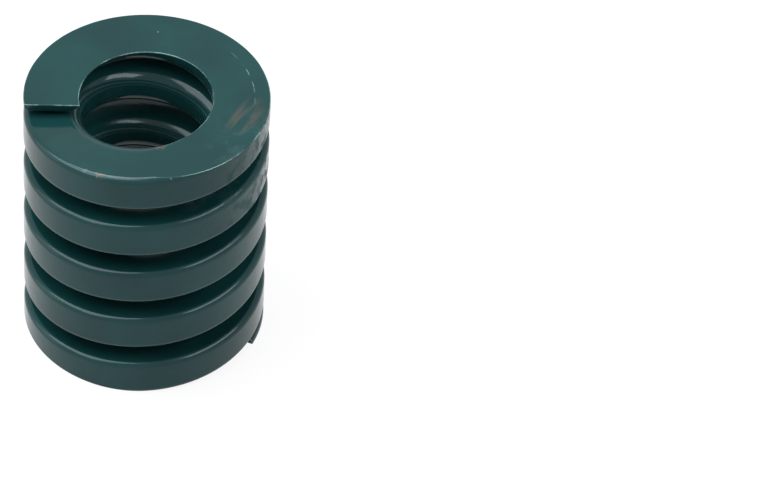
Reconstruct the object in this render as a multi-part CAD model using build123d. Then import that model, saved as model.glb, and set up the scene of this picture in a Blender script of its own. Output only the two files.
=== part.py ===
from build123d import *
import os
from math import asin, cos, degrees, radians, sin

# Die spring: one length of rounded-rectangular wire wound right-handed into a coil
# whose two ends are closed and ground flat. Millimetres, axis along +Z, and the
# origin on the axis in the plane of the lower ground end.

# ---- driving dimensions ----
OUTER_DIAMETER = 49.8       # over the coil
BORE_DIAMETER = 26.6        # clear through the coil
FREE_LENGTH = 59.4          # between the two ground ends
WIRE_THICKNESS = 8.4        # axial size of the wire
OUTER_CORNER_RADIUS = 1.3   # on the wire's two outer corners
INNER_CORNER_RADIUS = 3.2   # on the wire's two inner corners
TIP_THICKNESS = 1.6         # left of the wire at each ground tip
LOWER_TIP_GAP = 0.15        # between the lower tip and the turn it closes on
UPPER_TIP_GAP = 1.1         # between the upper tip and the turn it closes on
WHOLE_TURNS = 5             # complete turns, before the part turn that leads to the upper tip
LOWER_TIP_ANGLE = -25.0     # about +Z from +X
UPPER_TIP_ANGLE = 180.0     # about +Z from +X; the upper tip is sawn along this direction
UPPER_TIP_OVERHANG = 3.2    # the saw cut lies this far past the axis
END_TURNS = 1.0             # each end turn runs once round
STATIONS_PER_TURN = 12      # guide points of the coil's path per turn
GUIDE_OFFSET = 20.0         # radial distance from the path to the guide that keeps the wire upright

# ---- worked out from them ----
OUTER_RADIUS = OUTER_DIAMETER / 2
WIRE_WIDTH = (OUTER_DIAMETER - BORE_DIAMETER) / 2
MEAN_RADIUS = OUTER_RADIUS - WIRE_WIDTH / 2
OVERRUN_ANGLE = degrees(asin(UPPER_TIP_OVERHANG / (BORE_DIAMETER / 2)))
OVERRUN_REACH = OUTER_RADIUS * sin(radians(OVERRUN_ANGLE))
TOTAL_TURNS = WHOLE_TURNS + (UPPER_TIP_ANGLE + OVERRUN_ANGLE - LOWER_TIP_ANGLE) / 360
WORKING_TURNS = TOTAL_TURNS - 2 * END_TURNS
LOWER_END_RISE = WIRE_THICKNESS + LOWER_TIP_GAP
UPPER_END_RISE = WIRE_THICKNESS + UPPER_TIP_GAP
TIP_MIDDLE = TIP_THICKNESS - WIRE_THICKNESS / 2
WORKING_RISE = FREE_LENGTH - 2 * TIP_MIDDLE - LOWER_END_RISE - UPPER_END_RISE
WORKING_LEAD = WORKING_RISE / WORKING_TURNS


def rise_from_tip(turns, end_rise):
    """Rise of the wire's middle over an end turn, whose lead grows evenly to the working lead."""
    tip_lead = 2 * end_rise / END_TURNS - WORKING_LEAD
    growth = (WORKING_LEAD - tip_lead) / END_TURNS
    return tip_lead * turns + growth * turns ** 2 / 2


def middle_height(turns):
    """Height of the wire's middle, a number of turns on from the lower tip."""
    if turns < END_TURNS:
        return TIP_MIDDLE + rise_from_tip(turns, LOWER_END_RISE)
    if turns > TOTAL_TURNS - END_TURNS:
        return FREE_LENGTH - TIP_MIDDLE - rise_from_tip(TOTAL_TURNS - turns, UPPER_END_RISE)
    return TIP_MIDDLE + LOWER_END_RISE + (turns - END_TURNS) * WORKING_LEAD


def coil_line(radius):
    """The coil's path at a radius from the axis, as one smooth curve."""
    count = round(TOTAL_TURNS * STATIONS_PER_TURN)
    points = []
    for i in range(count + 1):
        turns = TOTAL_TURNS * i / count
        angle = radians(LOWER_TIP_ANGLE + 360 * turns)
        points.append((radius * cos(angle), radius * sin(angle), middle_height(turns)))
    return Spline(*points)


def wire_section():
    """Rounded rectangle: nearly square outside, full and round towards the bore."""
    blank = Rectangle(WIRE_WIDTH, WIRE_THICKNESS)
    inner_corners = blank.vertices().group_by(Axis.X)[0]
    section = fillet(inner_corners, INNER_CORNER_RADIUS)
    outer_corners = section.vertices().group_by(Axis.X)[-1]
    section = fillet(outer_corners, OUTER_CORNER_RADIUS)
    tip = radians(LOWER_TIP_ANGLE)
    outward = (cos(tip), sin(tip), 0)
    along = (sin(tip), -cos(tip), 0)
    origin = (MEAN_RADIUS * outward[0], MEAN_RADIUS * outward[1], TIP_MIDDLE)
    return Plane(origin=origin, x_dir=outward, z_dir=along) * section


def wound_wire():
    """The wire as coiled, before its ends are ground."""
    return sweep(wire_section(), path=coil_line(MEAN_RADIUS), binormal=coil_line(MEAN_RADIUS + GUIDE_OFFSET))


def ground_envelope():
    """Everything between the two grinding planes."""
    return extrude(Circle(OUTER_DIAMETER), FREE_LENGTH)


def upper_saw_cut():
    """What the straight saw cut takes off the upper tip, clear of the turn below."""
    waste = Box(OUTER_DIAMETER, OVERRUN_REACH, WIRE_THICKNESS, align=(Align.MIN, Align.MIN, Align.MIN))
    floor = FREE_LENGTH - TIP_THICKNESS - UPPER_TIP_GAP / 2
    return Rot(0, 0, UPPER_TIP_ANGLE) * Pos(0, UPPER_TIP_OVERHANG, floor) * waste


def spring_coil():
    return (wound_wire() & ground_envelope()) - upper_saw_cut()


os.makedirs("parts", exist_ok=True)
export_step(spring_coil(), "parts/spring_coil.step")
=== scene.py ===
from math import asin, atan2, ceil, cos, pi, radians, sin, sqrt
import bmesh
import bpy
from mathutils import Matrix, Vector


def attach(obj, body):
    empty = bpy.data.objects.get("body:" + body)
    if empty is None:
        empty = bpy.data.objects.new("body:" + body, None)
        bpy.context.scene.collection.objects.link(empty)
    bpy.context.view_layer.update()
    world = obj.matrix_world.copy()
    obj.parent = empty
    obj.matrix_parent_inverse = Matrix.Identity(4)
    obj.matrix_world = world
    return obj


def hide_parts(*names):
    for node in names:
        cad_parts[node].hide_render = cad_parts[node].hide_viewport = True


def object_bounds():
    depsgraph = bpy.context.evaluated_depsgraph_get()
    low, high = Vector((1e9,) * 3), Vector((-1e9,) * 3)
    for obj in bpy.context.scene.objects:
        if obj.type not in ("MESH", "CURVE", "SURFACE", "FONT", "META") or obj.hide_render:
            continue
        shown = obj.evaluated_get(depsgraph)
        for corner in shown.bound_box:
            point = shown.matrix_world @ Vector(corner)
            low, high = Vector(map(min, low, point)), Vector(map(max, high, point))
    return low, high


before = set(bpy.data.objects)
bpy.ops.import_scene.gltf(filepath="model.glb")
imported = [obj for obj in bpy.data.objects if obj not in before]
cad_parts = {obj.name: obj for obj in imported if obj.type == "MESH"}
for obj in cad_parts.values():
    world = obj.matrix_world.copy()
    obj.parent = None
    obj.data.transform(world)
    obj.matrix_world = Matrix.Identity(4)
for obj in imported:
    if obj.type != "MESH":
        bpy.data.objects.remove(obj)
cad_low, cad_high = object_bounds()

MM = 0.001

# ---- the coil, as in the part's own model ----
OUTER_RADIUS = 24.89 * MM          # a hair inside the solid, so the paint stays in its box
FREE_LENGTH = cad_high.z - cad_low.z
WIRE_WIDTH = 11.6 * MM
WIRE_THICKNESS = 8.4 * MM
OUTER_CORNER_RADIUS = 1.3 * MM
INNER_CORNER_RADIUS = 3.2 * MM
TIP_THICKNESS = 1.6 * MM
LOWER_TIP_GAP = 0.15 * MM
UPPER_TIP_GAP = 1.1 * MM
WHOLE_TURNS = 5
END_TURNS = 1.0
LOWER_TIP_ANGLE = radians(-25.0)
UPPER_TIP_ANGLE = radians(180.0)
UPPER_TIP_OVERHANG = 3.2 * MM      # the upper tip's saw cut lies this far past the axis

BORE_RADIUS = OUTER_RADIUS - WIRE_WIDTH
OVERRUN_ANGLE = asin(UPPER_TIP_OVERHANG / BORE_RADIUS)
TOTAL_TURNS = WHOLE_TURNS + (UPPER_TIP_ANGLE + OVERRUN_ANGLE - LOWER_TIP_ANGLE) / (2 * pi)
WORKING_TURNS = TOTAL_TURNS - 2 * END_TURNS
LOWER_END_RISE = WIRE_THICKNESS + LOWER_TIP_GAP
UPPER_END_RISE = WIRE_THICKNESS + UPPER_TIP_GAP
TIP_MIDDLE = TIP_THICKNESS - WIRE_THICKNESS / 2
WORKING_RISE = FREE_LENGTH - 2 * TIP_MIDDLE - LOWER_END_RISE - UPPER_END_RISE
WORKING_LEAD = WORKING_RISE / WORKING_TURNS

# ---- fineness of the visible mesh ----
STATIONS_PER_TURN = 144
CORNER_STEPS = 8
FLAT_SHARES = (0.012, 0.25, 0.5, 0.75, 0.988)    # rings of edges along each flat
TIP_BENDS = (80, 55, 30)                          # degrees round a tip's cut edge
EDGE_ROUNDING = 0.16 * MM
TINY = 1e-7                                       # points nearer than this are one
SHARP_ANGLE = radians(32)                         # edges that bend more are shaded sharp

# ---- camera ----
ELEVATION = radians(43.54)
ROLL = radians(-3.21)
DISTANCE = 1.143
NEAREST = 0.05              # the camera sees nothing nearer
FOCAL_LENGTH = 261.4
SENSOR_WIDTH = 36.0
COIL_ACROSS = -0.3105       # of the picture's width, from its middle to the coil's
COIL_DOWN = -0.0473

# ---- light and colour ----
PAINT = (0.0052, 0.0345, 0.0345, 1)
PAINT_DARK = (0.0037, 0.0240, 0.0245, 1)
WORN_PAINT = (0.10, 0.19, 0.18, 1)
DUST = (0.35, 0.38, 0.37, 1)
RUST = (0.11, 0.068, 0.050, 1)
BARE = (0.19, 0.24, 0.23, 1)
PAINT_IOR = 1.33
SHEEN_TINT = (0.84, 0.95, 1.0, 1)
POLISH = (0.08, 0.20)              # the paint's roughness, from glossiest to dullest
DULL_ROUGHNESS = 0.40              # added where handling has dulled it
PEEL_STRENGTH = 0.08               # orange peel
PEEL_DEPTH = 0.4 * MM
FLOOR_SIZE = 6.0
FLOOR_COLOUR = (0.72, 0.72, 0.74, 1)
FLOOR_ROUGHNESS = 0.9
FLOOR_GLOW = 0.88                  # share of plain white in how the floor looks, seen directly
STUDIO_LIGHT = (0.30, 0.315, 0.335, 1)
WHITE = (1, 1, 1, 1)
LAMPS = (                          # name, place, size and power
    ("overhead", (-0.05, 0.22, 0.93), (0.80, 0.42), 8.5),
    ("left_window", (-0.50, -0.08, 0.78), (0.80, 0.72), 9.5),
    ("right_window", (0.54, -0.32, 0.66), (0.68, 0.34), 4.6),
    ("left_wall", (-0.9, 0.1, 0.35), (0.5, 0.7), 1.2),
)

# ---- marks of use, as places and reaches in millimetres ----
CHIPS = (
    ((2.6, -14.6, 59.4), 1.6, RUST),
    ((5.0, -23.9, 59.2), 0.35, BARE),
    ((-12.2, -21.3, 58.9), 1.1, BARE),
    ((-9.3, -22.7, 58.8), 1.4, RUST),
    ((-24.0, 6.0, 45.0), 0.9, BARE),
)
BROWN_RUB = ((20.6, -5.6, 59.4), 6.6)
RUB_TURN = radians(-29)         # of the brown streaks about the coil's axis
SCRATCH_LINE = (21.7, 0.11)     # its radius about the axis, and half its breadth
SCRATCH_REACH = ((20.6, 6.4, 59.4), 9.0)
DULL_SIDE = ((21.0, -13.0, 49.0), 17.0)

# ---- textures: noise cells per metre, and the noise values between which a mark sets in ----
MOTTLE_CELLS, MOTTLE_RANGE = 60, (0.35, 0.65)
POLISH_CELLS, POLISH_RANGE = 120, (0.3, 0.7)
PEEL_CELLS = 420
SPECK_CELLS, SPECK_RANGE = 900, (0.835, 0.85)
WEAR_CELLS, WEAR_RANGE = 160, (0.42, 0.58)
DULL_CELLS, DULL_RANGE = 330, (0.46, 0.60)
CHIP_CELLS, CHIP_RANGE, CHIP_STRENGTH = 1900, (0.48, 0.56), 0.8
RUB_CELLS, RUB_RANGE, RUB_STRENGTH = 900, (0.50, 0.66), 0.28
RUB_STRETCH = (1, 14, 1)
SCRATCH_CELLS, SCRATCH_RANGE, SCRATCH_STRENGTH = 500, (0.40, 0.55), 0.7


def rise_from_tip(turns, end_rise):
    """Rise of the wire's middle over an end turn, whose lead grows evenly to the working lead."""
    tip_lead = 2 * end_rise / END_TURNS - WORKING_LEAD
    growth = (WORKING_LEAD - tip_lead) / END_TURNS
    return tip_lead * turns + growth * turns ** 2 / 2


def middle_height(turns):
    """Height of the wire's middle, a number of turns on from the lower tip."""
    if turns < END_TURNS:
        return TIP_MIDDLE + rise_from_tip(turns, LOWER_END_RISE)
    if turns > TOTAL_TURNS - END_TURNS:
        return FREE_LENGTH - TIP_MIDDLE - rise_from_tip(TOTAL_TURNS - turns, UPPER_END_RISE)
    return TIP_MIDDLE + LOWER_END_RISE + (turns - END_TURNS) * WORKING_LEAD


def half_width(height, thickness_reach, width_reach, rounding):
    """How far a rounded side of the wire's section reaches at a height from the wire's middle."""
    above = abs(height) - (thickness_reach - rounding)
    if above <= 0:
        return width_reach
    return width_reach - rounding + sqrt(max(rounding ** 2 - above ** 2, 0.0))


def outline_steps():
    """Steps round the section's outline: way faced, outer side, upper side, and share of a flat."""
    steps = []
    for quarter in range(4):
        outer, upper = quarter < 2, quarter in (1, 2)
        start = (quarter - 1) * pi / 2
        for i in range(CORNER_STEPS + 1):
            steps.append((start + i / CORNER_STEPS * pi / 2, outer, upper, None))
        steps += [(start + pi / 2, outer, upper, share) for share in FLAT_SHARES]
    return steps


def section_corner(turns, facing, outer, upper):
    """Point on a corner of the ground wire's section, shrunk by the edge rounding, that faces one way.

    It is given as the radius from the axis and the height above the ground, with whether the
    grinding set its height."""
    middle = middle_height(turns)
    reach = WIRE_THICKNESS / 2 - EDGE_ROUNDING
    rounding = (OUTER_CORNER_RADIUS if outer else INNER_CORNER_RADIUS) - EDGE_ROUNDING
    height = (reach - rounding) * (1 if upper else -1) + rounding * sin(facing)
    ground = min(max(middle + height, EDGE_ROUNDING), FREE_LENGTH - EDGE_ROUNDING)
    was_ground = abs(ground - middle - height) > TINY
    width = half_width(ground - middle, reach, WIRE_WIDTH / 2 - EDGE_ROUNDING, rounding)
    centre = OUTER_RADIUS - WIRE_WIDTH / 2
    return centre + width if outer else centre - width, ground, was_ground


def saw_cut_turns(radius, before):
    """How far along the coil a point lies a distance before the upper tip's saw cut."""
    past = OVERRUN_ANGLE - asin((UPPER_TIP_OVERHANG - before) / radius)
    return TOTAL_TURNS - past / (2 * pi)


def place_along(turns, radius, before_start, before_end):
    """Turns along the coil of a point, kept a distance clear of both tips' cuts."""
    first = before_start / (2 * pi * radius)
    return min(max(turns, first), saw_cut_turns(radius, before_end))


def coil_ring(bm, steps, turns, growth, before_start, before_end):
    """One ring of the coil's mesh: its vertices, and which of them the grinding set.

    growth puts back the edge rounding that section_corner took off the section."""
    corners = []
    for facing, outer, upper, share in steps:
        if share is None:
            radius = section_corner(turns, facing, outer, upper)[0]
            along = place_along(turns, radius, before_start, before_end)
            radius, height, was_ground = section_corner(along, facing, outer, upper)
            angle = LOWER_TIP_ANGLE + 2 * pi * along
            radius += growth * cos(facing)
            point = Vector((radius * cos(angle), radius * sin(angle), height + growth * sin(facing)))
            corners.append((point, was_ground))
        else:
            corners.append(None)
    verts, marks = [], []
    for i, corner in enumerate(corners):
        if corner is None:
            share = steps[i][-1]
            k = FLAT_SHARES.index(share)
            before = corners[i - k - 1]
            after = corners[(i - k + len(FLAT_SHARES)) % len(corners)]
            corner = (before[0].lerp(after[0], share), False)
        verts.append(bm.verts.new(corner[0]))
        marks.append(corner[1])
    return verts, marks


def ring_plan():
    """The rings of the coil in order: turns, growth, distances before the tips, and if on a tip."""
    bends = [radians(degree) for degree in TIP_BENDS]
    plan = []
    for bend in bends:
        plan.append((0.0, EDGE_ROUNDING * cos(bend), EDGE_ROUNDING * (1 - sin(bend)), 0.0, True))
    count = ceil(TOTAL_TURNS * STATIONS_PER_TURN)
    for i in range(count + 1):
        plan.append((TOTAL_TURNS * i / count, EDGE_ROUNDING, EDGE_ROUNDING, EDGE_ROUNDING, False))
    for bend in reversed(bends):
        distance = EDGE_ROUNDING * (1 - sin(bend))
        plan.append((TOTAL_TURNS, EDGE_ROUNDING * cos(bend), 0.0, distance, True))
    return plan


def coil_mesh():
    """The ground coil, whose cut edges are slightly rounded and carry the second material."""
    bm = bmesh.new()
    steps = outline_steps()
    rings = []
    for turns, growth, before_start, before_end, on_tip in ring_plan():
        rings.append((*coil_ring(bm, steps, turns, growth, before_start, before_end), on_tip))
    for (a, marks_a, tip_a), (b, marks_b, tip_b) in zip(rings, rings[1:]):
        for k in range(len(steps)):
            j = (k + 1) % len(steps)
            face = bm.faces.new((a[k], a[j], b[j], b[k]))
            rubbed = all((marks_a[k], marks_a[j], marks_b[k], marks_b[j]))
            face.material_index = 1 if rubbed or tip_a or tip_b else 0
    bm.faces.new(rings[0][0][::-1])
    bm.faces.new(rings[-1][0])
    bmesh.ops.remove_doubles(bm, verts=bm.verts[:], dist=TINY)
    bmesh.ops.recalc_face_normals(bm, faces=bm.faces[:])
    for face in bm.faces:
        face.smooth = True
    mesh = bpy.data.meshes.new("spring_coil_body")
    bm.to_mesh(mesh)
    bm.free()
    mesh.set_sharp_from_angle(angle=SHARP_ANGLE)
    return mesh


def new_material(name):
    """A new node material, with its node tree and its Principled shader, joined to the output."""
    material = bpy.data.materials.new(name)
    material.use_nodes = True
    tree = material.node_tree
    return material, tree, tree.nodes["Principled BSDF"]


def noise(tree, scale, detail=3.0, roughness=0.5, stretch=(1, 1, 1), turn=0.0):
    """A noise texture in the object's own coordinates, scale being cells per metre.

    Its cells may be stretched along its axes, which may be turned about the coil's axis."""
    place = tree.nodes.new("ShaderNodeTexCoord")
    mapping = tree.nodes.new("ShaderNodeMapping")
    mapping.vector_type = "TEXTURE"
    mapping.inputs["Scale"].default_value = stretch
    mapping.inputs["Rotation"].default_value = (0, 0, turn)
    texture = tree.nodes.new("ShaderNodeTexNoise")
    texture.inputs["Scale"].default_value = scale
    texture.inputs["Detail"].default_value = detail
    texture.inputs["Roughness"].default_value = roughness
    tree.links.new(place.outputs["Object"], mapping.inputs["Vector"])
    tree.links.new(mapping.outputs["Vector"], texture.inputs["Vector"])
    return texture.outputs["Fac"]


def ramp(tree, source, low, high, start=0.0, end=1.0):
    """Maps a value between two limits onto a range, clamped."""
    node = tree.nodes.new("ShaderNodeMapRange")
    node.inputs["From Min"].default_value = low
    node.inputs["From Max"].default_value = high
    node.inputs["To Min"].default_value = start
    node.inputs["To Max"].default_value = end
    tree.links.new(source, node.inputs["Value"])
    return node.outputs["Result"]


def mixed(tree, factor, first, second):
    """Mixes two colours, either of them a fixed colour or another node's output."""
    node = tree.nodes.new("ShaderNodeMix")
    node.data_type = "RGBA"
    tree.links.new(factor, node.inputs["Factor"])
    for socket, colour in ((node.inputs[6], first), (node.inputs[7], second)):
        if isinstance(colour, tuple):
            socket.default_value = colour
        else:
            tree.links.new(colour, socket)
    return node.outputs[2]


def product(tree, first, second):
    """Multiplies two nodes' outputs."""
    node = tree.nodes.new("ShaderNodeMath")
    node.operation = "MULTIPLY"
    tree.links.new(first, node.inputs[0])
    tree.links.new(second, node.inputs[1])
    return node.outputs[0]


def near(tree, centre, radius):
    """1 at a point of the object, fading to 0 at a radius from it, both in millimetres."""
    place = tree.nodes.new("ShaderNodeTexCoord")
    distance = tree.nodes.new("ShaderNodeVectorMath")
    distance.operation = "DISTANCE"
    distance.inputs[1].default_value = Vector(centre) * MM
    tree.links.new(place.outputs["Object"], distance.inputs[0])
    return ramp(tree, distance.outputs["Value"], radius * MM, radius * MM / 2)


def ring_line(tree, radius, half_breadth):
    """1 on a thin circle about the coil's axis and 0 elsewhere, both sizes in millimetres."""
    place = tree.nodes.new("ShaderNodeTexCoord")
    flat = tree.nodes.new("ShaderNodeVectorMath")
    flat.operation = "MULTIPLY"
    flat.inputs[1].default_value = (1, 1, 0)
    length = tree.nodes.new("ShaderNodeVectorMath")
    length.operation = "LENGTH"
    band = tree.nodes.new("ShaderNodeMath")
    band.operation = "COMPARE"
    band.inputs[1].default_value = radius * MM
    band.inputs[2].default_value = half_breadth * MM
    tree.links.new(place.outputs["Object"], flat.inputs[0])
    tree.links.new(flat.outputs["Vector"], length.inputs[0])
    tree.links.new(length.outputs["Value"], band.inputs[0])
    return band.outputs[0]


def knocked(tree, colour):
    """Lays the small marks of use over a paint colour: chips, brown rubs and one long scratch."""
    for centre, radius, mark in CHIPS:
        broken = ramp(tree, noise(tree, CHIP_CELLS, 3, 0.6), *CHIP_RANGE, 0.0, CHIP_STRENGTH)
        colour = mixed(tree, product(tree, near(tree, centre, radius), broken), colour, mark)
    grain = noise(tree, RUB_CELLS, 3, stretch=RUB_STRETCH, turn=RUB_TURN)
    streaks = ramp(tree, grain, *RUB_RANGE, 0.0, RUB_STRENGTH)
    colour = mixed(tree, product(tree, near(tree, *BROWN_RUB), streaks), colour, RUST)
    broken = ramp(tree, noise(tree, SCRATCH_CELLS, 2), *SCRATCH_RANGE, 0.0, SCRATCH_STRENGTH)
    scratch = product(tree, ring_line(tree, *SCRATCH_LINE), broken)
    return mixed(tree, product(tree, near(tree, *SCRATCH_REACH), scratch), colour, WORN_PAINT)


def dulled(tree, roughness):
    """Adds to a roughness where handling has dulled one side of the coil in blotches."""
    blotches = ramp(tree, noise(tree, DULL_CELLS, 4, 0.65), *DULL_RANGE)
    added = tree.nodes.new("ShaderNodeMath")
    added.operation = "MULTIPLY_ADD"
    added.inputs[1].default_value = DULL_ROUGHNESS
    tree.links.new(product(tree, near(tree, *DULL_SIDE), blotches), added.inputs[0])
    tree.links.new(roughness, added.inputs[2])
    return added.outputs[0]


def gloss_paint(name, worn):
    """Dark green gloss enamel over steel, with faint mottling, orange peel and dust specks."""
    material, tree, shader = new_material(name)
    mottle = ramp(tree, noise(tree, MOTTLE_CELLS, 4), *MOTTLE_RANGE)
    colour = mixed(tree, mottle, PAINT, PAINT_DARK)
    colour = knocked(tree, colour)
    specks = ramp(tree, noise(tree, SPECK_CELLS, 1), *SPECK_RANGE)
    colour = mixed(tree, specks, colour, DUST)
    if worn:
        rubbed = ramp(tree, noise(tree, WEAR_CELLS, 4, 0.65), *WEAR_RANGE)
        colour = mixed(tree, rubbed, colour, WORN_PAINT)
    tree.links.new(colour, shader.inputs["Base Color"])
    polish = ramp(tree, noise(tree, POLISH_CELLS, 4), *POLISH_RANGE, *POLISH)
    tree.links.new(dulled(tree, polish), shader.inputs["Roughness"])
    shader.inputs["IOR"].default_value = PAINT_IOR
    shader.inputs["Specular Tint"].default_value = SHEEN_TINT
    peel = tree.nodes.new("ShaderNodeBump")
    peel.inputs["Strength"].default_value = PEEL_STRENGTH
    peel.inputs["Distance"].default_value = PEEL_DEPTH
    tree.links.new(noise(tree, PEEL_CELLS, 3), peel.inputs["Height"])
    tree.links.new(peel.outputs["Normal"], shader.inputs["Normal"])
    return material


def make_coil():
    coil = bpy.data.objects.new("painted_coil", coil_mesh())
    bpy.context.scene.collection.objects.link(coil)
    coil.data.materials.append(gloss_paint("green_enamel", worn=False))
    coil.data.materials.append(gloss_paint("green_enamel_rubbed", worn=True))
    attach(coil, "root")
    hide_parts("spring_coil")


def seen_directly(tree):
    """1 for what is seen directly, in gloss and through glass, and 0 for light that the floor gives."""
    path = tree.nodes.new("ShaderNodeLightPath")
    seen = path.outputs["Is Camera Ray"]
    for kind in ("Is Glossy Ray", "Is Transmission Ray"):
        either = tree.nodes.new("ShaderNodeMath")
        either.operation = "MAXIMUM"
        tree.links.new(seen, either.inputs[0])
        tree.links.new(path.outputs[kind], either.inputs[1])
        seen = either.outputs[0]
    return seen


def make_floor():
    bpy.ops.mesh.primitive_plane_add(size=FLOOR_SIZE)
    floor = bpy.context.object
    floor.name = "floor"
    material, tree, shader = new_material("white_paper")
    shader.inputs["Base Color"].default_value = FLOOR_COLOUR
    shader.inputs["Roughness"].default_value = FLOOR_ROUGHNESS
    glow = tree.nodes.new("ShaderNodeEmission")
    blend = tree.nodes.new("ShaderNodeMixShader")
    share = ramp(tree, seen_directly(tree), 0, 1, 0.0, FLOOR_GLOW)
    tree.links.new(share, blend.inputs["Fac"])
    tree.links.new(shader.outputs["BSDF"], blend.inputs[1])
    tree.links.new(glow.outputs["Emission"], blend.inputs[2])
    tree.links.new(blend.outputs["Shader"], tree.nodes["Material Output"].inputs["Surface"])
    floor.data.materials.append(material)


def soft_lamp(name, place, size, power):
    """A broad area lamp aimed at the coil's middle."""
    data = bpy.data.lights.new(name, "AREA")
    data.shape = "RECTANGLE"
    data.size, data.size_y = size
    data.energy = power
    lamp = bpy.data.objects.new(name, data)
    lamp.location = place
    aim = Vector((0, 0, FREE_LENGTH / 2)) - lamp.location
    lamp.rotation_euler = aim.to_track_quat("-Z", "Y").to_euler()
    bpy.context.scene.collection.objects.link(lamp)


def make_light():
    world = bpy.data.worlds.new("studio")
    bpy.context.scene.world = world
    world.use_nodes = True
    tree = world.node_tree
    surround = mixed(tree, seen_directly(tree), STUDIO_LIGHT, WHITE)
    tree.links.new(surround, tree.nodes["Background"].inputs["Color"])
    for name, place, size, power in LAMPS:
        soft_lamp(name, place, size, power)


def make_camera():
    """A long lens looking down at the coil, which stands left of the picture's middle."""
    data = bpy.data.cameras.new("camera")
    data.lens = FOCAL_LENGTH
    data.sensor_width = SENSOR_WIDTH
    data.clip_start = NEAREST
    forward = Vector((0, cos(ELEVATION), -sin(ELEVATION)))
    right = Vector((1, 0, 0))
    down = forward.cross(right)
    right, down = right * cos(ROLL) + down * sin(ROLL), down * cos(ROLL) - right * sin(ROLL)
    spread = SENSOR_WIDTH / FOCAL_LENGTH
    sight = (forward + right * COIL_ACROSS * spread + down * COIL_DOWN * spread).normalized()
    turn = Matrix.Rotation(atan2(sight.x, sight.y), 4, "Z")
    axes = Matrix((right, -down, -forward)).transposed().to_4x4()
    middle = Vector((0, 0, FREE_LENGTH / 2))
    place = Matrix.Translation(middle - (turn @ sight) * DISTANCE)
    camera = bpy.data.objects.new("camera", data)
    camera.matrix_world = place @ turn @ axes
    bpy.context.scene.collection.objects.link(camera)
    bpy.context.scene.camera = camera


make_coil()
make_floor()
make_light()
make_camera()
bpy.context.scene.view_settings.view_transform = "Standard"
